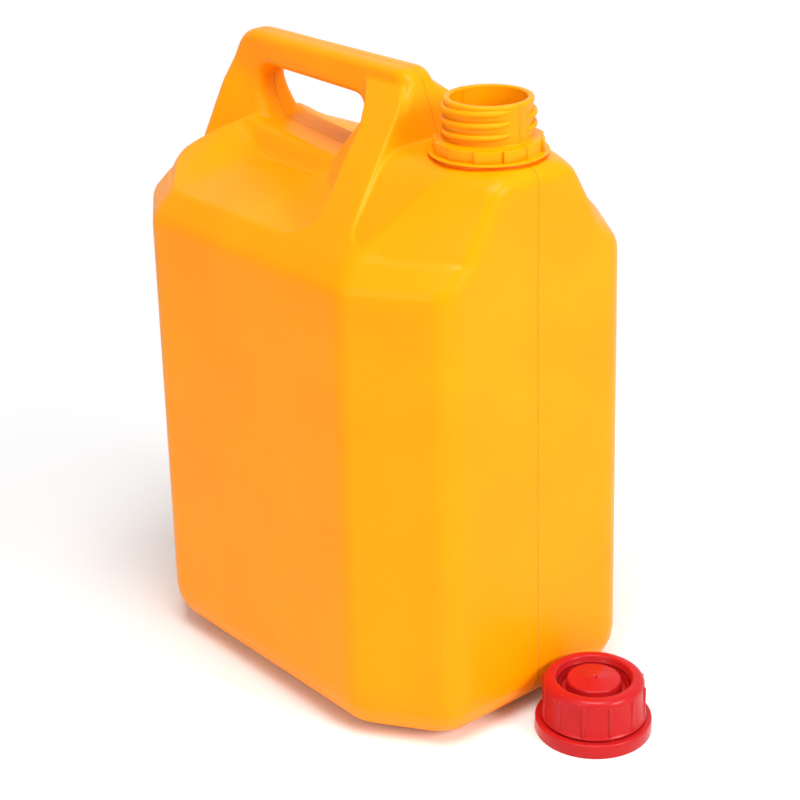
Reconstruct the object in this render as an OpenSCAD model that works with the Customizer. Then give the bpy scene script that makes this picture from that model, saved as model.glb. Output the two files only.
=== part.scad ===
// Jerrycan with a moulded-in handle, a threaded neck and a loose screw cap.
// Millimetres, +Z up, the narrow front face with the neck towards -Y,
// the parting plane of the can at X = 0 and the middle of its base at the origin.

/* [Can body] */
// Width of the can across its wide faces, at the base
body_w = 145; // [130:1:160]
// Length of the can, front to back, at the base
body_l = 201; // [185:1:215]
// Height of the straight walls, base to bevel
wall_top = 201; // [170:1:230]
// How far each wall leans in between base and bevel
draft = 2; // [0:0.5:4]
// Corner chamfer, measured along the width
chamfer_x = 25; // [18:1:32]
// Corner chamfer, measured along the length
chamfer_y = 37; // [28:1:44]
// Rounding of the upright edges
edge_r = 15; // [8:1:18]
// Rounding between base and walls
base_r = 22; // [12:1:26]
// Wall thickness of the blow moulding
wall = 1.5; // [1.2:0.1:2]

/* [Shoulder] */
// Inset of the bevel above the walls
bevel_in = 8; // [6:0.5:10]
// Height of that bevel
bevel_h = 10; // [8:0.5:12]
// Rise of the shoulder from the bevel to the crease under the grip
roof_rise = 8; // [5:0.5:11]
// Rise of the shoulder round the foot of the handle
foot_rise = 16; // [8:0.5:18]
// Distance over which that rise dies away sideways
foot_reach = 17; // [8:0.5:20]
// Half distance between the two creases
crease_x = 22; // [18:1:26]
// Half width of the floor of the grip opening
floor_x = 13.5; // [10:0.5:15]
// Fall of that floor towards the neck, height per length
floor_fall = 0.09; // [0:0.01:0.12]
// Height of that floor above the bevel
floor_rise = 18; // [14:0.5:20]

/* [Handle] */
// Height of the top of the handle above the bevel
handle_rise = 56.5; // [50:0.5:64]
// Width of the grip bar
bar_w = 14.5; // [13:0.5:20]
// Depth of the grip bar, top to underside
bar_h = 14.5; // [12:0.5:18]
// Rounding of the grip bar's edges
bar_r = 5; // [3:0.5:6]
// Front of the grip opening at the underside of the bar, in front of the middle
grip_front = 12; // [8:1:16]
// Back of the grip opening, behind the middle
grip_back = 67; // [60:1:70]
// Front post's foot, in front of the middle, at the height of the deck
post_front = 41.5; // [39:0.5:43]
// Lean of the front post's face, length per height
post_lean = 0.43; // [0.3:0.01:0.5]
// Slope of the two ribs that run from the handle to the side walls
rib_slope = 0.95; // [0.85:0.01:1.05]
// Breadth of those ribs, front to back
rib_w = 20; // [16:0.5:24]
// How much the back post widens per height below the bar
post_flare = 0.42; // [0.3:0.01:0.6]

/* [Front panels] */
// Height of the deck around the neck above the bevel
deck_rise = 30.5; // [27:0.5:34]
// Half width of the deck
deck_x = 26; // [25:0.5:29]
// Half width of the front face where it meets the deck
nose_x = 18; // [14:0.5:22]
// Width of the narrow ledge at the foot of the recessed panels
ledge = 2; // [1:0.25:3]

/* [Neck] */
// Distance of the neck's axis in front of the middle
neck_y = 71; // [69.5:0.5:72]
// Wall of the neck between the thread ridges
neck_wall = 2.3; // [1.8:0.1:2.8]
// Outer radius of the neck between the thread ridges
neck_r = 17.3; // [17:0.1:17.6]
// Height of the neck above its flange
neck_h = 21; // [20:0.5:23]
// How far the thread ridges stand out
thread_h = 1.5; // [1.1:0.1:1.6]
// Pitch of the thread
pitch = 4.6; // [4:0.1:4.8]
// Half angle of the gaps in the thread at the parting line
thread_gap = 15; // [8:1:20]
// Width of the flange under the ratchet teeth, from the neck's wall outwards
flange_w = 6.4; // [6.1:0.1:6.9]
// Thickness of that flange
flange_t = 1.2; // [1:0.1:1.8]
// How far the flange overhangs the foot of the neck
flange_lip = 2.6; // [1.8:0.1:3.2]
// How far the tips of the ratchet teeth stay inside the flange
tooth_in = 1.6; // [1:0.1:1.8]
// Ratchet steps round the neck, those on the parting line being left out
neck_steps = 12; // [8:2:16]
// Height of the ratchet teeth
tooth_h = 4.8; // [4:0.1:5.6]
// How far each tooth stands out at its step
tooth_step = 1.3; // [0.8:0.1:1.6]

/* [Cap] */
// Clearance between neck and cap, on the radius
fit_gap = 0.4; // [0.25:0.05:0.5]
// Wall of the cap's skirt
skirt_t = 2.3; // [2:0.1:2.8]
// Wall of the tamper ring
ring_t = 1.6; // [1.4:0.1:2.3]
// Height of the tamper ring
ring_h = 6.4; // [5.5:0.1:7]
// Depth of the round recess in the top
recess_d = 6; // [4:0.1:7]
// Width of the cap's rim round that recess
cap_rim = 5.7; // [4.5:0.1:6.5]
// Distance from the boss in the middle of the recess to the plug's outside
moat = 3.3; // [2.6:0.1:5]
// Thickness of the cap's rim above the sealing ring
cap_top = 2.9; // [2.4:0.1:3.4]
// Wall of the folded part of the top
cap_wall = 1.2; // [1:0.1:1.4]
// Number of grip ribs round the skirt
grip_ribs = 12; // [8:1:18]
// Radius of each grip rib
rib_r = 1.1; // [0.8:0.1:1.4]
// Number of thin bridges that hold the tamper ring
bridges = 8; // [4:1:12]
// Thickness of the sealing ring
seal_t = 0.8; // [0.6:0.1:1.2]
// Where the cap stands on the floor, to the right of the middle
cap_x = 10; // [4:0.1:20]
// How far the cap, standing on the floor, reaches under the can's rounded front
tuck = 1.6; // [-35:0.1:2]

/* [Hidden] */
$fa = 4;
$fs = 0.6;
top_z = wall_top + bevel_h;
deck_z = top_z + deck_rise;
flange_z = deck_z + 0.8;
rim_z = flange_z + flange_t + neck_h;
handle_z = top_z + handle_rise;
under_z = handle_z - bar_h;
tooth_z = flange_z + flange_t + tooth_h;
thread_r = neck_r + thread_h;
bore_r = neck_r - neck_wall;
flange_r = neck_r + flange_w;
tooth_r = flange_r - tooth_in;
cap_in_r = thread_r + fit_gap;
ring_in_r = tooth_r + 2 * fit_gap;
cap_r = cap_in_r + skirt_t;
ring_r = ring_in_r + ring_t;
recess_r = cap_r - cap_rim;
seal_r = cap_in_r - 1;
seat_z = neck_h + 0.2;
cap_h = seat_z + seal_t + cap_top;
plug_r = bore_r - fit_gap;
boss_r = plug_r - moat;
cap_y = body_l / 2 + ring_r - tuck;
eps = 0.01;
tooth_lap = 1;
soft = 0.4;
ring_out_r = tooth_r - tooth_step;
crown = 0.25;
arc_n = 5;

// Point lists
function flat2(l) = [for (a = l) for (b = a) b];
function unit(v) = v / norm(v);
// One corner of a closed outline turned into an arc, always n + 1 points
function corner(p, q, s, r, n) =
  let (d0 = unit(p - q), d1 = unit(s - q), h = acos(d0 * d1) / 2,
       t = r / tan(h), a = q + d0 * t, b = q + d1 * t,
       c = q + unit(d0 + d1) * (r / sin(h)), s0 = a - c, s1 = b - c,
       w = 180 - 2 * h)
  [for (k = [0:n]) let (f = k / n)
    c + (s0 * sin(w * (1 - f)) + s1 * sin(w * f)) / sin(w)];
function rounded(l, r, n, runs = 0) = let (m = len(l),
    c = [for (i = [0:m - 1]) corner(l[(i + m - 1) % m], l[i], l[(i + 1) % m], r[i], n)])
  flat2([for (i = [0:m - 1]) let (a = c[i][n], b = c[(i + 1) % m][0])
    concat(c[i], [for (k = [1:1:runs]) let (f = k / (runs + 1))
      a + (b - a) * f + unit([b[1] - a[1], a[0] - b[0]]) * crown * sin(180 * f)])]);
function lift(l, z) = [for (a = l) [a[0], a[1], z]];
// The same for an open path, whose two ends stay as they are
function open_path(l, r, n) = let (m = len(l)) concat([l[0]], flat2(
  [for (i = [1:m - 2]) corner(l[i - 1], l[i], l[i + 1], r[i], n)]), [l[m - 1]]);

// A closed skin over a stack of rings with equally many points
module loft(rings) {
  n = len(rings[0]);
  m = len(rings);
  polyhedron(points = flat2(rings), convexity = 8, faces = concat(
    [[for (i = [0:n - 1]) i]],
    [[for (i = [0:n - 1]) m * n - 1 - i]],
    flat2([for (j = [0:m - 2]) for (i = [0:n - 1]) let (
      a = j * n + i, b = j * n + (i + 1) % n, c = a + n, d = b + n)
      [[a, c, d], [a, d, b]]])));
}

// Outline of the can: a rectangle with chamfered corners.
// in is the inset of sides, chamfers and back, front that of the front face.
function can_outline(in, front) =
  let (hw = body_w / 2 - in, hb = body_l / 2 - in, hf = body_l / 2 - front,
       s = norm([chamfer_x, chamfer_y]),
       d = body_w / 2 * chamfer_y + body_l / 2 * chamfer_x
           - chamfer_x * chamfer_y - in * s,
       ys = (d - hw * chamfer_y) / chamfer_x,
       xb = (d - hb * chamfer_x) / chamfer_y,
       xf = (d - hf * chamfer_x) / chamfer_y)
  [[hw, -ys], [hw, ys], [xb, hb], [-xb, hb], [-hw, ys], [-hw, -ys],
   [-xf, -hf], [xf, -hf]];
function can_ring(z, in, front, r) =
  lift(rounded(can_outline(in, front), [for (i = [0:7]) r], arc_n), z);
function lean(z) = draft * z / wall_top;
// Heights and insets of the bevel above the walls
function bevel_rows() = [[-6, 0], [-2, 0.35], [1.2, 1.7], [bevel_h - 3, bevel_in - 1.7],
  [bevel_h - 1, bevel_in - 0.1]];

// Main body up to the top of the bevel; g is how far inside the outer skin
module body_form(g) {
  rb = base_r - g;
  r0 = max(edge_r - g, 2);
  loft(concat(
    [for (a = [0:15:90]) let (z = g + rb * (1 - cos(a)), i = g + rb * (1 - sin(a)))
      can_ring(z, i + lean(z), i + lean(z), r0)],
    [for (q = concat(bevel_rows(), [[bevel_h, bevel_in + 1.6]]))
      let (z = wall_top + q[0], i = lean(wall_top) + q[1] + g)
      can_ring(z - g * 0.5, i, lean(wall_top) + g, r0)]));
}

// Shoulder: two shallow slopes that meet the bevel, two creases, and between them
// the floor of the grip opening, which falls a little towards the neck. At the back
// it swells up softly round the foot of the handle.
function ease(t) = let (c = min(1, max(0, t))) c * c * (3 - 2 * c);
function shoulder_z(x, y) =
  let (a = abs(x), k = roof_rise / (body_w / 2 - draft - bevel_in - 1.5 - crease_x),
       grip = (floor_rise - roof_rise + floor_fall * (y - grip_back + 22))
              * (1 - ease((a - floor_x + 1) / (crease_x - floor_x + 1))),
       foot = foot_rise * exp(-max(0, a - floor_x) / foot_reach) * ease((y - grip_back + 17) / 25))
  top_z + roof_rise - k * max(0, a - crease_x) + pow(pow(grip, 4) + pow(foot, 4), 0.25);
module shoulder_form(g) {
  e = body_w / 2;
  xs = [e, 62, 54, 47, 41, 35, 30, 26, crease_x + 0.5, crease_x - 1, 19, 17, 15, 12, 6];
  m = len(xs) - 1;
  intersection() {
    loft([for (q = [[-5, -4], [0, -0.4], [4, 1.6], [8, 4.4], [12, 8.2], [16, 13.2], [20, 19.4], [24, 26]])
      can_ring(top_z + q[0] - g * 0.5, draft + bevel_in + 1.6 + q[1] + g, draft + 1 + g,
        max(edge_r - q[1] / 2, 6))]);
    loft([for (y = concat([2 - post_front], [for (d = [-17:5:13]) grip_back + d], [body_l / 2]))
      concat([for (i = [0:m]) [-xs[i], y, shoulder_z(xs[i], y) - g]],
             [for (i = [m:-1:0]) [xs[i], y, shoulder_z(xs[i], y) - g]],
             [[e, y, wall_top - 8], [-e, y, wall_top - 8]])]);
  }
}

// Block under the neck: upright front face, recessed panels at its sides, flat deck
function front_ring(z, t, in) =
  let (o = can_outline(draft + bevel_in + ledge + in, draft + in),
       hw = o[0][0], ys = o[0][1], xf = o[7][0], yf = o[7][1],
       dx = deck_x - in, nx = nose_x - in)
  lift(rounded([
    [hw + (dx - hw) * t, -post_front + 6], [-hw - (dx - hw) * t, -post_front + 6],
    [-hw - (dx - hw) * t, ys + (-neck_y - 6 - ys) * t],
    [-xf - (nx - xf) * t, yf], [xf + (nx - xf) * t, yf],
    [hw + (dx - hw) * t, ys + (-neck_y - 6 - ys) * t]], [1, 1, 11, 9, 9, 11], 5, 2), z);
module front_form(g) {
  d = deck_z - top_z;
  loft(concat(
    [front_ring(wall_top - 5, -0.1, g)],
    [for (t = [0:0.15:0.6]) front_ring(top_z - g + d * t, t, g)],
    [for (a = [0:15:90]) let (r = 7)
      front_ring(deck_z - g - r + r * sin(a), 1 - (1 - sin(a)) * r / d, g + r * (1 - cos(a)))]));
}

// Rib at each side: from the handle down to the side wall, in front of the scoop.
// Its slope carries on from the bevel, its foot turns forward along the ledge.
module rib_form(g) {
  hx = body_w / 2 - draft - bevel_in;
  bx = bar_w / 2;
  lo = wall_top - 5;
  hz = top_z - 1 - g * 1.4;
  rise = (hx - bx) * rib_slope;
  yb = rib_w - post_front;
  yf = -post_front + g - post_lean * (deck_z - top_z);
  intersection() {
    loft([for (q = concat(bevel_rows(), [[bevel_h + 14, bevel_in + 15 / rib_slope],
                                        [bevel_h + handle_rise - 4 - g, bevel_in + 16]]))
      can_ring(wall_top + q[0], draft + q[1] + 0.15 + g, draft + 0.6 + g, edge_r)]);
    translate([0, body_l / 2, 0]) rotate([90, 0, 0])
      linear_extrude(body_l, convexity = 4) polygon([
        [-hx + g, lo], [hx - g, lo], [hx - g, hz + g * rib_slope],
        [bx - g, hz + rise + g * rib_slope], [g - bx, hz + rise + g * rib_slope],
        [-hx + g, hz + g * rib_slope]]);
    translate([-body_w / 2, 0, 0]) rotate([90, 0, 90])
      linear_extrude(body_w, convexity = 4) polygon([
        [yf - 24, lo], [body_l / 4, lo], [body_l / 4, handle_z],
        [-post_front + g + post_lean * (handle_z - deck_z) + 4, handle_z - 3],
        [-post_front + g + post_lean * 16 + 1.2, deck_z + 16],
        [-post_front + g + post_lean * 11 + 0.1, deck_z + 11],
        [-post_front + g - post_lean * 23 + 0.1, deck_z - 23], [yf + 0.5, top_z + 5],
        [yf - 5, top_z + 2.8], [yf - 12, top_z + 1], [yf - 18, top_z - 1]]);
    translate([0, 0, lo]) linear_extrude(handle_z, convexity = 4) polygon(
      let (h = [[bx, yb + 16], [bx + 8, yb + 7], [bx + 16, yb + 1], [hx - 24, yb - 4],
                [hx - 17, yb - 7], [hx - 11, yb - 8.5], [hx - 6, yb - 6.5], [hx - 2, yb + 1],
                [hx + 0.5, yb + 12], [hx + 1, yb + 34]])
      concat([[-hx - 1, -body_l / 2], [hx + 1, -body_l / 2]],
             [for (i = [9:-1:0]) [h[i][0], h[i][1] - g]],
             [for (i = [0:9]) [-h[i][0], h[i][1] - g]]));
  }
}

// Handle: one hollow bar from the deck over the grip opening down to the back.
// Seen from the front its posts widen downwards, most at their outer edge: the
// front post with the slope of the ribs, the back post to a flared foot.
function post_w(z, y) = y < 0 ?
  max(0, top_z - 1 + (body_w / 2 - draft - bevel_in - bar_w / 2) * rib_slope - z) / rib_slope :
  let (d = max(0, under_z + 6 - z)) d * post_flare * min(1, d / 16);
function bar_ring(o, i, g) =
  let (v = unit(i - o), m = (o + i) / 2, hh = norm(i - o) / 2 - g, w = bar_w / 2 - g,
       wo = w + post_w(o[1], m[0]), wi = w + post_w(i[1], m[0]) * 0.2,
       r = max(bar_r - g, 1))
  [for (q = rounded([[wi, hh], [-wi, hh], [-wo, -hh], [wo, -hh]], [r, r, r, r], 4))
    let (c = m + v * q[1]) [q[0], c[0], c[1]]];
// Points that divide the last run of a path
function run(l, n) = let (m = len(l), a = l[m - 2], b = l[m - 1])
  concat([for (k = [0:m - 2]) l[k]], [for (k = [1:n]) a + (b - a) * k / n]);
module handle_form(g) {
  dip = 24;
  outer = run(open_path([
    [-post_front - post_lean * dip, deck_z - dip],
    [-post_front + post_lean * (handle_z - deck_z), handle_z],
    [body_l / 2 - draft - 18, handle_z],
    [body_l / 2 - draft - 8.3, handle_z - 18],
    [body_l / 2 - draft - 0.3, wall_top - 4]], [0, 9, 14, 30, 0], 6), 5);
  inner = run(open_path([
    [grip_front + 5, top_z + floor_rise - 14],
    [-grip_front, under_z], [grip_back, under_z],
    [grip_back, under_z - 12],
    [grip_back - 17, top_z + 3]], [0, 7, 7, 16, 0], 6), 5);
  loft([for (k = [0:len(outer) - 1]) bar_ring(outer[k], inner[k], g)]);
}

module can_form(g) {
  body_form(g);
  shoulder_form(g);
  front_form(g);
  rib_form(g);
  handle_form(g);
}

// One half turn of thread, its ends running out at the parting line
module thread_piece(a0, a1, z0, r, h, way) {
  n = 14;
  w = pitch * 0.28;
  loft([for (k = [0:n]) let (
      f = k / n, a = a0 + (a1 - a0) * f, z = z0 + pitch * (a - a0) / 360,
      s = min(1, min(f, 1 - f) * 7 + 0.12), e = 0.4)
    [for (q = way > 0 ?
        [[-e, w], [h * 0.72, w * 0.62], [h, w * 0.2], [h, -w * 0.2], [h * 0.72, -w * 0.62], [-e, -w]] :
        [[e, -w], [-h * 0.8, -w * 0.5], [-h, -0.1], [-h, 0.1], [-h * 0.8, w * 0.5], [e, w]])
      let (p = q[0] > 0 == way > 0 ? q[0] * s : q[0])
      [(r + p) * cos(a), (r + p) * sin(a), z + q[1] * (0.5 + s / 2)]]]);
}

// Neck with its thread, flange and ratchet teeth, on the can's deck
module neck() {
  translate([0, -neck_y, 0]) {
    rotate_extrude() polygon([
      [bore_r - 1, deck_z - wall], [flange_r - flange_lip, deck_z - wall],
      [flange_r - flange_lip, flange_z - 0.2], [flange_r - soft, flange_z],
      [flange_r, flange_z + soft], [flange_r, flange_z + flange_t - soft],
      [flange_r - soft, flange_z + flange_t], [ring_out_r, flange_z + flange_t],
      [ring_out_r, tooth_z - 0.3], [ring_out_r - 0.3, tooth_z],
      [neck_r + 0.5, tooth_z + 0.5], [neck_r + 0.5, tooth_z + 0.8],
      [neck_r, tooth_z + 1], [neck_r, rim_z - 2.2],
      [neck_r + 0.3, rim_z - 1.6], [neck_r + 0.3, rim_z - 0.7],
      [neck_r - 0.3, rim_z], [bore_r - 1, rim_z]]);
    for (k = [0:4])
      thread_piece(90 + thread_gap + 180 * k, 270 - thread_gap + 180 * k,
        rim_z - 2.4 - pitch * (2.5 - k / 2) + pitch * thread_gap / 180, neck_r, thread_h, 1);
    for (k = [0:neck_steps - 1]) let (p = 360 / neck_steps, a0 = 2.5 + p * k)
      if (abs(sin(a0 + 90)) > 0.2)
        translate([0, 0, flange_z + flange_t - eps]) linear_extrude(tooth_h - 0.5) polygon(concat(
          [for (f = [0:0.25:1]) let (r = tooth_r - tooth_step * f * 0.85, a = a0 + f * (p + tooth_lap))
            [r * cos(a), r * sin(a)]],
          [for (f = [1:-0.25:0]) let (r = ring_out_r - 1, a = a0 + f * (p + tooth_lap))
            [r * cos(a), r * sin(a)]]));
  }
}

module can() color([0.99, 0.6, 0.08]) difference() {
  union() {
    can_form(0);
    neck();
  }
  can_form(wall);
  translate([0, -neck_y, deck_z - 6]) cylinder(r = bore_r, h = rim_z - deck_z + 7, $fn = 120);
}

// Screw cap, open side down, with grip ribs, recess, boss and tamper ring
module cap() color([0.8, 0.12, 0.13]) translate([cap_x, -cap_y, 0]) {
  skirt_z = ring_h + 0.7;
  rotate_extrude() polygon([
    [cap_in_r, skirt_z], [cap_r + 0.5, skirt_z], [cap_r + 0.7, skirt_z + 0.3],
    [cap_r + 0.7, skirt_z + 1], [cap_r, skirt_z + 1.5], [cap_r - 0.35, cap_h - 2.2],
    [cap_r - 0.7, cap_h - 1.1], [cap_r - 1.4, cap_h - 0.35], [cap_r - 2.4, cap_h],
    [recess_r + 0.8, cap_h], [recess_r + 0.2, cap_h - 0.2], [recess_r, cap_h - 0.8],
    [plug_r - cap_wall + 0.6, cap_h - cap_top], [plug_r - cap_wall, cap_h - recess_d],
    [boss_r + 0.3, cap_h - recess_d], [boss_r, cap_h - 1.4], [boss_r - 0.6, cap_h - 0.8],
    [2.2, cap_h - 0.8], [1.7, cap_h - 0.5], [1.2, cap_h - 0.6], [0.7, cap_h - 1.2],
    [0.4, cap_h - 0.9], [0, cap_h - 0.9], [0, cap_h - 0.8 - cap_wall - 0.6],
    [boss_r - cap_wall - 0.4, cap_h - 0.8 - cap_wall - 0.6],
    [boss_r - cap_wall, cap_h - recess_d - cap_wall], [plug_r - 0.6, cap_h - recess_d - cap_wall],
    [plug_r, cap_h - recess_d - cap_wall + 0.8], [plug_r, cap_h - cap_top],
    [cap_in_r, cap_h - cap_top]]);
  for (k = [0:grip_ribs - 1]) rotate([0, 0, 360 / grip_ribs * k + 3])
    translate([cap_r - 0.6, 0, skirt_z + 0.6]) {
      cylinder(r = rib_r, h = cap_h - skirt_z - 4, $fn = 16);
      translate([0, 0, cap_h - skirt_z - 4 - eps])
        cylinder(r1 = rib_r, r2 = rib_r - 0.7, h = 1, $fn = 16);
    }
  rotate_extrude() polygon([
    [ring_in_r, 0], [ring_r - 0.5, 0], [ring_r, 0.5], [ring_r, ring_h - 1],
    [ring_r - 0.3, ring_h - 0.3], [ring_r - 1, ring_h], [cap_in_r + 0.9, ring_h],
    [cap_in_r + 0.9, ring_h - 1.2], [ring_in_r, ring_h - 1.6]]);
  for (k = [0:bridges - 1]) rotate([0, 0, 360 / bridges * k + 20])
    translate([cap_r - 1.4, -0.6, ring_h - 0.5]) cube([1.6, 1.2, 1.6]);
  for (k = [0:neck_steps - 1]) rotate([0, 0, 360 / neck_steps * k])
    linear_extrude(ring_h - 1.3) polygon([
      [ring_in_r + 0.3, -1.6], [ring_in_r + 0.3, 2.6], [ring_in_r - 0.4, 0.2],
      [ring_in_r - 0.9, -1]]);
  for (k = [0:3])
    thread_piece(-90 + thread_gap + 180 * k, 90 - thread_gap + 180 * k,
      seat_z - 4.4 - pitch * (1.5 - k / 2), cap_in_r, thread_h - 0.2, -1);
}

// Sealing ring inside the cap, between its top and the lip of the neck
module seal() color([0.93, 0.93, 0.9]) translate([cap_x, -cap_y, seat_z])
  difference() {
    cylinder(r = seal_r, h = seal_t, $fn = 90);
    translate([0, 0, -1]) cylinder(r = plug_r + 0.1, h = seal_t + 2, $fn = 90);
  }

can();
cap();
seal();
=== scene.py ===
import math

import bpy
from mathutils import Matrix, Vector


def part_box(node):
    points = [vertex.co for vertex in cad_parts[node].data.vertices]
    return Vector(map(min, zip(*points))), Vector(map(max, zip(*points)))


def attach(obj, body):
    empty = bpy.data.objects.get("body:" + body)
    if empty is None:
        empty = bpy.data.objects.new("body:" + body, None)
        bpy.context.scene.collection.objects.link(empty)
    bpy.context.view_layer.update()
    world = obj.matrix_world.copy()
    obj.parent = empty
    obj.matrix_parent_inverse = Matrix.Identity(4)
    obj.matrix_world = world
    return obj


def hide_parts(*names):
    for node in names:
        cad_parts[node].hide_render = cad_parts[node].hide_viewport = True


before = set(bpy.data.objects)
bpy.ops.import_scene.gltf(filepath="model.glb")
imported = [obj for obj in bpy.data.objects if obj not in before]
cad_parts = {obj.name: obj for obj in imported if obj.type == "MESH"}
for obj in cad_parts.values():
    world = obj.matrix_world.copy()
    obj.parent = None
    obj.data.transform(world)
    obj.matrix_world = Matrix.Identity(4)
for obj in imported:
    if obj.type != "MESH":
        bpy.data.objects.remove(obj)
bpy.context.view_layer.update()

# Studio. A pale floor, a white surround and three soft lamps round a standing can.
# The camera stands in front of the can's left corner and looks down at it.
mm = 0.001


def linear(colour):
    """An sRGB hex colour as linear red, green, blue and 1."""
    parts = [int(colour[i:i + 2], 16) / 255 for i in (1, 3, 5)]
    return [c / 12.92 if c < 0.04045 else ((c + 0.055) / 1.055) ** 2.4 for c in parts] + [1.0]


def node(tree, kind, settings=None, **links):
    """Adds a node. settings go to its inputs, and links join its inputs to outputs of other nodes."""
    made = tree.nodes.new(kind)
    for key, value in (settings or {}).items():
        if key in made.inputs:
            made.inputs[key].default_value = value
        else:
            setattr(made, key, value)
    for key, source in links.items():
        place = int(key[1:]) if key[0] == "i" and key[1:].isdigit() else key.replace("_", " ")
        tree.links.new(source, made.inputs[place])
    return made


def blank_material(name):
    """A material with an empty node tree."""
    made = bpy.data.materials.new(name)
    made.use_nodes = True
    made.node_tree.nodes.clear()
    return made


scene = bpy.context.scene
scene.view_settings.view_transform = "Standard"

camera = bpy.data.objects.new("camera", bpy.data.cameras.new("camera"))
scene.collection.objects.link(camera)
camera.data.lens = 86
camera.data.sensor_width = 36
camera.data.clip_start = 0.05
camera.matrix_world = Matrix((
    (0.76154, 0.28030, -0.58436, -0.48514),
    (-0.64770, 0.29694, -0.70165, -0.59609),
    (-0.02316, 0.91283, 0.40768, 0.45663),
    (0, 0, 0, 1)))
scene.camera = camera


def soft_lamp(name, place, aim, size, watts):
    """A square lamp that faces the point it is aimed at."""
    lamp = bpy.data.objects.new(name, bpy.data.lights.new(name, "AREA"))
    scene.collection.objects.link(lamp)
    lamp.data.size = size
    lamp.data.energy = watts
    lamp.rotation_euler = (Vector(place) - Vector(aim)).to_track_quat("Z", "Y").to_euler()
    lamp.location = place
    return lamp


soft_lamp("front lamp", (0.3, -1.65, 1.0), (0, -0.05, 0.12), 0.7, 21)
soft_lamp("left lamp", (-1.65, -0.5, 0.85), (0, 0, 0.12), 0.8, 6)
soft_lamp("top lamp", (-0.3, -0.45, 1.6), (0, 0, 0.15), 0.8, 20)

scene.world = scene.world or bpy.data.worlds.new("white surround")
scene.world.use_nodes = True
sky = scene.world.node_tree
sky.nodes.clear()
path = node(sky, "ShaderNodeLightPath")
glossy = node(sky, "ShaderNodeMath", {"operation": "MAXIMUM"},
              i0=path.outputs["Is Glossy Ray"], i1=path.outputs["Is Transmission Ray"])
seen = node(sky, "ShaderNodeMath", {"operation": "MAXIMUM"},
            i0=path.outputs["Is Camera Ray"], i1=glossy.outputs[0])
level = node(sky, "ShaderNodeMapRange", {"To Min": 0.36, "To Max": 1.0}, Value=seen.outputs[0])
surround = node(sky, "ShaderNodeBackground", {"Color": (1, 1, 1, 1)}, Strength=level.outputs[0])
node(sky, "ShaderNodeOutputWorld", Surface=surround.outputs[0])

bpy.ops.object.select_all(action="DESELECT")
bpy.ops.mesh.primitive_circle_add(vertices=96, radius=3.0, fill_type="NGON", location=(0, 0, 0))
floor = bpy.context.object
floor.name = "floor"
paper = blank_material("white paper sweep")
tree = paper.node_tree
matt = node(tree, "ShaderNodeBsdfDiffuse", {"Color": linear("#FBFBFB")})
glow = node(tree, "ShaderNodeEmission", {"Color": (1, 1, 1, 1)})
path = node(tree, "ShaderNodeLightPath")
where = node(tree, "ShaderNodeTexCoord")
away = node(tree, "ShaderNodeVectorMath", {"operation": "LENGTH"}, Vector=where.outputs["Object"])
far = node(tree, "ShaderNodeMapRange", {"From Min": 0.14, "From Max": 0.36, "To Min": 0.0, "To Max": 1.0},
           Value=away.outputs["Value"])
only_seen = node(tree, "ShaderNodeMath", {"operation": "MULTIPLY"},
                 i0=far.outputs[0], i1=path.outputs["Is Camera Ray"])
mixed = node(tree, "ShaderNodeMixShader", i0=only_seen.outputs[0], i1=matt.outputs[0], i2=glow.outputs[0])
node(tree, "ShaderNodeOutputMaterial", Surface=mixed.outputs[0])
floor.data.materials.append(paper)

# Can. One blow moulding of high-density polyethylene, still soft when it meets the cold
# mould, so every edge of it is rounded and its walls are one thickness. The part's solid
# gives its form. Here its edges are softened as the moulding's are, and it stays hollow.
neck_place = (0, -71 * mm)
deck_z = 241.5 * mm
rim_z = 264.5 * mm
bore_r = 15 * mm
wall = 1.5 * mm
cut_z = deck_z - 0.05 * mm
cutter_r = 25 * mm
outer_voxel = 0.75 * mm
inner_voxel = 2.6 * mm


def only(piece):
    """Leaves object mode with this piece alone selected and active."""
    if bpy.context.object and bpy.context.object.mode != "OBJECT":
        bpy.ops.object.mode_set(mode="OBJECT")
    bpy.ops.object.select_all(action="DESELECT")
    piece.select_set(True)
    bpy.context.view_layer.objects.active = piece


def finish_with(piece, kind, **settings):
    """Adds a modifier and applies it."""
    only(piece)
    added = piece.modifiers.new(kind.lower(), kind)
    for key, value in settings.items():
        setattr(added, key, value)
    bpy.ops.object.modifier_apply(modifier=added.name)


def round_bar(name, place, radius, low, high):
    """A plain cylinder, used to cut with."""
    bpy.ops.object.select_all(action="DESELECT")
    bpy.ops.mesh.primitive_cylinder_add(vertices=128, radius=radius, depth=high - low,
                                        location=(place[0], place[1], (low + high) / 2))
    bpy.context.object.name = name
    bpy.ops.object.transform_apply(location=True, rotation=True, scale=True)
    return bpy.context.object


def cut(piece, tool):
    """Takes one piece out of another, and removes it."""
    finish_with(piece, "BOOLEAN", object=tool, operation="DIFFERENCE", solver="EXACT")
    bpy.data.objects.remove(tool)


def joined(piece, others):
    """Joins other pieces to this one, which keeps its name."""
    only(piece)
    for other in others:
        other.select_set(True)
    bpy.ops.object.join()


cad_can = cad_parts["can"]
shell = bpy.data.objects.new("can_shell", cad_can.data.copy())
scene.collection.objects.link(shell)
only(shell)
bpy.ops.object.mode_set(mode="EDIT")
bpy.ops.mesh.select_all(action="SELECT")
bpy.ops.mesh.remove_doubles(threshold=0.002 * mm)
bpy.ops.object.mode_set(mode="OBJECT")
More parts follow.
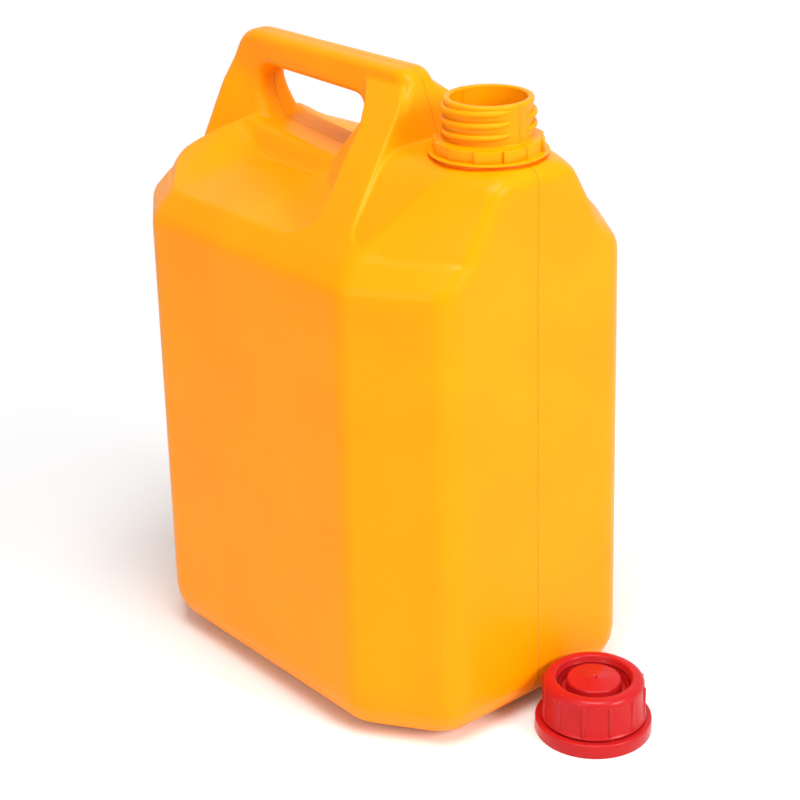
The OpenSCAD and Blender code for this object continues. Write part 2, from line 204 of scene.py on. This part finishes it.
# The neck comes off, to be modelled by itself, and a plug shuts the hole while the
# surface is rebuilt, so that only the outer skin is left. The inside follows from it.
cut(shell, round_bar("neck cutter", neck_place, cutter_r, cut_z, rim_z + 5 * mm))
joined(shell, [round_bar("plug", neck_place, bore_r + 2 * mm, deck_z - 3 * mm, cut_z)])
finish_with(shell, "REMESH", mode="VOXEL", voxel_size=outer_voxel)
finish_with(shell, "SMOOTH", factor=0.5, iterations=4)
finish_with(shell, "DECIMATE", ratio=0.2)
inside = bpy.data.objects.new("inside", shell.data.copy())
scene.collection.objects.link(inside)
finish_with(inside, "DISPLACE", strength=-wall, mid_level=0.0)
finish_with(inside, "REMESH", mode="VOXEL", voxel_size=inner_voxel)
cut(shell, inside)
cut(shell, round_bar("bore cutter", neck_place, bore_r, deck_z - 8 * mm, deck_z + 4 * mm))
only(shell)
bpy.ops.object.shade_smooth_by_angle(angle=math.radians(50))

# High-density polyethylene, blow moulded in a sand-blasted mould: waxy, with a soft broad
# sheen, a very fine grain, and a slow waviness where the wall shrank away from the mould.
hdpe = blank_material("blow-moulded HDPE, orange")
tree = hdpe.node_tree
where = node(tree, "ShaderNodeTexCoord")
slow = node(tree, "ShaderNodeTexNoise", {"Scale": 1 / (45 * mm), "Detail": 2.0},
            Vector=where.outputs["Object"])
grain = node(tree, "ShaderNodeTexNoise", {"Scale": 1 / (0.7 * mm), "Detail": 3.0, "Roughness": 0.6},
             Vector=where.outputs["Object"])
tint = node(tree, "ShaderNodeValToRGB", Fac=slow.outputs["Fac"])
tint.color_ramp.elements[0].position = 0.3
tint.color_ramp.elements[0].color = linear("#FD9400")
tint.color_ramp.elements[1].position = 0.7
tint.color_ramp.elements[1].color = linear("#FD9A02")
sheen = node(tree, "ShaderNodeMapRange", {"To Min": 0.3, "To Max": 0.38}, Value=grain.outputs["Fac"])
waves = node(tree, "ShaderNodeBump", {"Strength": 0.25, "Distance": 0.6 * mm}, Height=slow.outputs["Fac"])
pores = node(tree, "ShaderNodeBump", {"Strength": 0.12, "Distance": 0.04 * mm},
             Height=grain.outputs["Fac"], Normal=waves.outputs["Normal"])
axes = node(tree, "ShaderNodeSeparateXYZ", Vector=where.outputs["Object"])
off_middle = node(tree, "ShaderNodeMath", {"operation": "ABSOLUTE"}, i0=axes.outputs["X"])
line_half = 0.6 * mm
line = node(tree, "ShaderNodeMapRange",
            {"From Min": line_half / 4, "From Max": line_half, "To Min": 1.0, "To Max": 0.0},
            Value=off_middle.outputs[0])
parting = node(tree, "ShaderNodeBump", {"Strength": 1.0, "Distance": 0.35 * mm},
               Height=line.outputs[0], Normal=pores.outputs["Normal"])
skin = node(tree, "ShaderNodeBsdfPrincipled",
            {"IOR": 1.54, "Specular IOR Level": 0.09, "Subsurface Weight": 0.08,
             "Subsurface Radius": (6 * mm, 2.5 * mm, 0.6 * mm), "Subsurface Scale": 1.0},
            Base_Color=tint.outputs["Color"], Roughness=sheen.outputs[0], Normal=parting.outputs["Normal"])
node(tree, "ShaderNodeOutputMaterial", Surface=skin.outputs[0])
shell.data.materials.clear()
shell.data.materials.append(hdpe)
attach(shell, "can")
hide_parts("can")

# Neck. Part of the same moulding, but pressed to size by the blow pin, so it is crisp:
# thread ridges that stop at the parting line, a thin flange, and one-way ratchet teeth.
flange_z = 242.3 * mm
flange_r = 23.7 * mm
root_r = 17.3 * mm
ratchet_r = 20.8 * mm
tooth_in_r = 20.0 * mm
tooth_r = 22.1 * mm
tooth_end = 0.95 * mm
tooth_top = 248.3 * mm
round_r = 0.4 * mm


def turned(name, place, rings, sides=144, ends="joined"):
    """Draws a circle out ring by ring, and joins its last ring to its first or closes both ends."""
    bpy.ops.object.select_all(action="DESELECT")
    radius, height = rings[0]
    bpy.ops.mesh.primitive_circle_add(vertices=sides, radius=radius, location=(place[0], place[1], height))
    made = bpy.context.object
    made.name = name
    bpy.ops.object.transform_apply(location=True, rotation=True, scale=True)
    bpy.ops.object.mode_set(mode="EDIT")
    bpy.ops.mesh.select_mode(type="EDGE")
    bpy.ops.mesh.select_all(action="SELECT")
    if ends == "closed":
        bpy.ops.mesh.edge_face_add()
    for next_radius, next_height in rings[1:] + (rings[:1] if ends == "joined" else []):
        bpy.ops.mesh.extrude_edges_move()
        grow = next_radius / radius
        bpy.ops.transform.resize(value=(grow, grow, 1), center_override=(place[0], place[1], height))
        bpy.ops.transform.translate(value=(0, 0, next_height - height))
        radius, height = next_radius, next_height
    if ends == "closed":
        bpy.ops.mesh.edge_face_add()
    bpy.ops.mesh.select_all(action="SELECT")
    bpy.ops.mesh.remove_doubles(threshold=0.002 * mm)
    bpy.ops.mesh.normals_make_consistent(inside=False)
    bpy.ops.object.mode_set(mode="OBJECT")
    return made


def arc(middle, radius, start, end, steps):
    """Points of a rounded edge in a turned outline, from one angle to another."""
    angles = [math.radians(start + (end - start) * k / steps) for k in range(steps + 1)]
    return [(middle[0] + radius * math.cos(a), middle[1] + radius * math.sin(a)) for a in angles]


neck = turned("can_neck", neck_place, (
    [(bore_r, deck_z - 1.2 * mm)]
    + arc((bore_r + 0.7 * mm, rim_z - 0.7 * mm), 0.7 * mm, 180, 90, 4)
    + arc((root_r - 0.5 * mm, rim_z - 0.8 * mm), 0.8 * mm, 90, 0, 4)
    + [(root_r + 0.3 * mm, rim_z - 1.6 * mm), (root_r, rim_z - 2.2 * mm),
       (root_r, tooth_top + 1.2 * mm)]
    + arc((root_r + round_r, tooth_top + 0.9 * mm), round_r, 180, 270, 3)
    + arc((ratchet_r - round_r, tooth_top - round_r), round_r, 90, 0, 3)
    + [(ratchet_r, flange_z + 1.5 * mm)]
    + arc((ratchet_r + 0.3 * mm, flange_z + 1.5 * mm), 0.3 * mm, 180, 270, 3)
    + arc((flange_r - round_r, flange_z + 2 * round_r), round_r, 90, -90, 6)
    + [(21.6 * mm, flange_z + 0.2 * mm)]
    + arc((21.6 * mm, flange_z - 0.1 * mm), 0.3 * mm, 90, 180, 2)
    + [(21.3 * mm, deck_z + 0.1 * mm), (21.8 * mm, deck_z - 0.5 * mm), (21.8 * mm, deck_z - 1.2 * mm)]))


def turn_the_rest(angle):
    """Turns all but the selected end back round Z, so that the end stays at angle 0."""
    bpy.ops.mesh.select_all(action="INVERT")
    bpy.ops.transform.rotate(value=angle, orient_axis="Z", center_override=(0, 0, 0))
    bpy.ops.mesh.select_all(action="INVERT")


def ridge(name, place, start, end, height, rise, radius, proud, half, steps=40):
    """One stretch of thread: a flattened circle drawn out round the axis, thin at both ends."""
    bpy.ops.object.select_all(action="DESELECT")
    bpy.ops.mesh.primitive_circle_add(vertices=16, radius=1, fill_type="NGON", rotation=(math.pi / 2, 0, 0))
    made = bpy.context.object
    made.name = name
    bpy.ops.object.transform_apply(location=True, rotation=True, scale=True)
    run_in = 0.12
    turn = math.radians(end - start) / steps
    bpy.ops.object.mode_set(mode="EDIT")
    bpy.ops.mesh.select_mode(type="VERT")
    bpy.ops.mesh.select_all(action="SELECT")
    thick = run_in
    bpy.ops.transform.resize(value=(proud * thick, 1, half * (0.5 + thick / 2)), center_override=(0, 0, 0))
    bpy.ops.transform.translate(value=(radius, 0, height))
    for step in range(1, steps + 1):
        share = step / steps
        target = min(1, run_in + min(share, 1 - share) * 8)
        bpy.ops.mesh.extrude_region_move()
        here = height + rise * (step - 1) / steps
        bpy.ops.transform.resize(value=(target / thick, 1, (0.5 + target / 2) / (0.5 + thick / 2)),
                                 center_override=(radius, 0, here))
        bpy.ops.transform.translate(value=(0, 0, rise / steps))
        turn_the_rest(turn)
        thick = target
    bpy.ops.mesh.select_all(action="SELECT")
    bpy.ops.mesh.normals_make_consistent(inside=False)
    bpy.ops.object.mode_set(mode="OBJECT")
    made.data.transform(Matrix.Translation((place[0], place[1], 0))
                        @ Matrix.Rotation(math.radians(end), 4, "Z"))
    return made


pitch = 4.6 * mm
gap = 15
thread_rise = pitch * (180 - 2 * gap) / 360
thread = [ridge(f"thread {k}", neck_place, 90 + gap + 180 * k, 270 - gap + 180 * k,
                rim_z - 2.4 * mm - pitch * (2.5 - k / 2) + pitch * gap / 180,
                thread_rise, root_r, 1.5 * mm, 1.3 * mm) for k in range(5)]


def ratchet_tooth(name, place, start, sweep, inner, outer, low, high, steps=6):
    """An upright plate drawn out round the axis while its outer edge sinks to nothing."""
    bpy.ops.object.select_all(action="DESELECT")
    bpy.ops.mesh.primitive_plane_add(size=1, rotation=(math.pi / 2, 0, 0))
    made = bpy.context.object
    made.name = name
    made.scale = (outer - inner, high - low, 1)
    made.location = ((outer + inner) / 2, 0, (low + high) / 2)
    bpy.ops.object.transform_apply(location=True, rotation=True, scale=True)
    bpy.ops.object.mode_set(mode="EDIT")
    bpy.ops.mesh.select_mode(type="VERT")
    bpy.ops.mesh.select_all(action="SELECT")
    wide = outer - inner
    for step in range(1, steps + 1):
        next_wide = (outer - inner) * (1 - step / steps) + tooth_end * step / steps
        bpy.ops.mesh.extrude_region_move()
        bpy.ops.transform.resize(value=(next_wide / wide, 1, 1), center_override=(inner, 0, 0))
        turn_the_rest(math.radians(sweep) / steps)
        wide = next_wide
    bpy.ops.mesh.select_all(action="SELECT")
    bpy.ops.mesh.normals_make_consistent(inside=False)
    bpy.ops.object.mode_set(mode="OBJECT")
    made.data.transform(Matrix.Translation((place[0], place[1], 0))
                        @ Matrix.Rotation(math.radians(start + sweep), 4, "Z"))
    finish_with(made, "BEVEL", width=0.18 * mm, segments=2, limit_method="ANGLE")
    return made


step_angle = 30
first_step = 2.5
parting_gap = 0.2
teeth = [ratchet_tooth(f"tooth {k}", neck_place, first_step + step_angle * k, step_angle,
                       tooth_in_r, tooth_r, flange_z + 1.1 * mm, tooth_top)
         for k in range(12) if abs(math.cos(math.radians(first_step + step_angle * k))) > parting_gap]
joined(neck, thread + teeth)
bpy.ops.object.shade_smooth_by_angle(angle=math.radians(40))
neck.data.materials.clear()
neck.data.materials.append(hdpe)
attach(neck, "can")

# Cap. One injection moulding of polypropylene in a polished mould: skirt with grip ribs,
# folded top whose plug seals the bore, inner thread, and a tamper ring on small bridges.
cad_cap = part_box("cap")
cap_place = ((cad_cap[0][0] + cad_cap[1][0]) / 2, (cad_cap[0][1] + cad_cap[1][1]) / 2)
cap_h = 24.9 * mm
skirt_r = 21.5 * mm
skirt_z = 7.1 * mm
inner_r = 19.2 * mm
recess_r = 15.8 * mm
boss_r = 11.3 * mm
plug_r = 14.6 * mm
seat_z = 22.0 * mm
fold_z = 17.7 * mm
floor_z = 18.9 * mm
boss_z = cap_h - 0.8 * mm
crown_r = 3.0 * mm
thread_top_z = 16.8 * mm
cap = turned("screw_cap", cap_place, (
    [(0.6 * mm, boss_z - 1.8 * mm), (boss_r - 1.6 * mm, boss_z - 1.8 * mm),
     (boss_r - 1.2 * mm, boss_z - 2.2 * mm),
     (boss_r - 1.2 * mm, fold_z + 0.6 * mm), (boss_r - 0.7 * mm, fold_z), (plug_r - 0.6 * mm, fold_z),
     (plug_r, fold_z + 0.8 * mm), (plug_r, seat_z), (inner_r, seat_z), (inner_r, skirt_z + 0.3 * mm),
     (inner_r + 0.3 * mm, skirt_z)]
    + arc((skirt_r + 0.2 * mm, skirt_z + 0.5 * mm), 0.5 * mm, -90, 60, 5)
    + [(skirt_r, skirt_z + 1.5 * mm), (skirt_r - 0.3 * mm, cap_h - 3.2 * mm)]
    + arc((skirt_r - 0.3 * mm - crown_r, cap_h - crown_r), crown_r, 4, 90, 8)
    + arc((recess_r + 1.0 * mm, cap_h - 1.0 * mm), 1.0 * mm, 90, 170, 4)
    + [(recess_r - 0.5 * mm, cap_h - 2.6 * mm), (plug_r - 1.15 * mm, floor_z + 1.0 * mm)]
    + arc((plug_r - 1.7 * mm, floor_z + 0.5 * mm), 0.5 * mm, 0, -90, 3)
    + [(boss_r + 0.8 * mm, floor_z)]
    + arc((boss_r + 0.8 * mm, floor_z + 0.5 * mm), 0.5 * mm, -90, -170, 3)
    + [(boss_r + 0.05 * mm, boss_z - 1.0 * mm)]
    + arc((boss_r - 0.9 * mm, boss_z - 0.9 * mm), 0.9 * mm, 6, 90, 5)
    + [(2.6 * mm, boss_z), (2.1 * mm, boss_z + 0.25 * mm), (1.6 * mm, boss_z + 0.35 * mm),
       (1.1 * mm, boss_z + 0.05 * mm), (0.6 * mm, boss_z - 0.35 * mm)]), ends="closed")
ribs = []
rib_r = 1.1 * mm
rib_h = 14.8 * mm
rib_sink = 0.6 * mm
for k in range(12):
    angle = math.radians(3 + 30 * k)
    bpy.ops.object.select_all(action="DESELECT")
    bpy.ops.mesh.primitive_cylinder_add(vertices=20, radius=rib_r, depth=rib_h)
    rib = bpy.context.object
    finish_with(rib, "BEVEL", width=0.7 * mm, segments=4, limit_method="ANGLE")
    rib.data.transform(Matrix.Translation((cap_place[0], cap_place[1], skirt_z + 0.5 * mm + rib_h / 2))
                       @ Matrix.Rotation(angle, 4, "Z") @ Matrix.Translation((skirt_r - rib_sink, 0, 0)))
    ribs.append(rib)
ring_h = 6.4 * mm
ring_r = 24.5 * mm
ring_in_r = 22.9 * mm
lip_r = 20.1 * mm
ring = turned("tamper ring", cap_place, (
    [(ring_in_r, 0.25 * mm), (ring_in_r + 0.3 * mm, 0)]
    + arc((ring_r - round_r, round_r), round_r, -90, 0, 3)
    + arc((ring_r - 0.9 * mm, ring_h - 0.9 * mm), 0.9 * mm, 0, 90, 5)
    + [(lip_r + 0.3 * mm, ring_h), (lip_r, ring_h - 0.3 * mm), (lip_r, ring_h - 1.2 * mm),
       (ring_in_r, ring_h - 1.6 * mm)]))
bridges = []
for k in range(8):
    bpy.ops.object.select_all(action="DESELECT")
    bpy.ops.mesh.primitive_cube_add(size=1)
    bridge = bpy.context.object
    bridge.scale = (1.6 * mm, 1.2 * mm, 1.6 * mm)
    bpy.ops.object.transform_apply(location=True, rotation=True, scale=True)
    finish_with(bridge, "BEVEL", width=0.25 * mm, segments=2)
    bridge.data.transform(Matrix.Translation((cap_place[0], cap_place[1], ring_h + 0.3 * mm))
                          @ Matrix.Rotation(math.radians(45 * k + 20), 4, "Z")
                          @ Matrix.Translation((skirt_r - rib_sink, 0, 0)))
    bridges.append(bridge)
inner_thread = [ridge(f"cap thread {k}", cap_place, -90 + gap + 180 * k, 90 - gap + 180 * k,
                      thread_top_z - pitch * (1.5 - k / 2), thread_rise,
                      inner_r, 1.3 * mm, 1.1 * mm) for k in range(4)]
joined(cap, ribs + [ring] + bridges + inner_thread)
bpy.ops.object.shade_smooth_by_angle(angle=math.radians(40))

# Polypropylene, injection moulded against a polished mould: saturated colour under a
# clear gloss, with faint flow waves on the large faces.
polypropylene = blank_material("injection-moulded PP, red")
tree = polypropylene.node_tree
where = node(tree, "ShaderNodeTexCoord")
flow = node(tree, "ShaderNodeTexNoise", {"Scale": 1 / (7 * mm), "Detail": 2.0},
            Vector=where.outputs["Object"])
haze = node(tree, "ShaderNodeTexNoise", {"Scale": 1 / (0.8 * mm), "Detail": 2.0},
            Vector=where.outputs["Object"])
tint = node(tree, "ShaderNodeValToRGB", Fac=flow.outputs["Fac"])
tint.color_ramp.elements[0].color = linear("#B4171A")
tint.color_ramp.elements[1].color = linear("#BD1D1F")
shine = node(tree, "ShaderNodeMapRange", {"To Min": 0.2, "To Max": 0.3}, Value=haze.outputs["Fac"])
waves = node(tree, "ShaderNodeBump", {"Strength": 0.12, "Distance": 0.15 * mm},
             Height=flow.outputs["Fac"])
skin = node(tree, "ShaderNodeBsdfPrincipled",
            {"IOR": 1.49, "Specular IOR Level": 0.2, "Subsurface Weight": 0.05,
             "Subsurface Radius": (2 * mm, 0.4 * mm, 0.3 * mm), "Subsurface Scale": 1.0},
            Base_Color=tint.outputs["Color"], Roughness=shine.outputs[0], Normal=waves.outputs["Normal"])
node(tree, "ShaderNodeOutputMaterial", Surface=skin.outputs[0])
cap.data.materials.clear()
cap.data.materials.append(polypropylene)
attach(cap, "cap")
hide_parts("cap")

# Sealing ring. Foamed polyethylene pressed over the plug inside the cap. It keeps the
# part's own solid, and has a chalky skin with fine cells.
foam = blank_material("foamed PE, pale")
tree = foam.node_tree
where = node(tree, "ShaderNodeTexCoord")
cells = node(tree, "ShaderNodeTexVoronoi", {"Scale": 1 / (0.5 * mm)}, Vector=where.outputs["Object"])
dents = node(tree, "ShaderNodeBump", {"Strength": 0.3, "Distance": 0.1 * mm},
             Height=cells.outputs["Distance"])
tint = node(tree, "ShaderNodeValToRGB", Fac=cells.outputs["Distance"])
tint.color_ramp.elements[0].color = linear("#E4E2DA")
tint.color_ramp.elements[1].color = linear("#F0EEE6")
skin = node(tree, "ShaderNodeBsdfPrincipled", {"Roughness": 0.7, "IOR": 1.5},
            Base_Color=tint.outputs["Color"], Normal=dents.outputs["Normal"])
node(tree, "ShaderNodeOutputMaterial", Surface=skin.outputs[0])
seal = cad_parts["seal"]
for slot in seal.material_slots:
    slot.material = foam
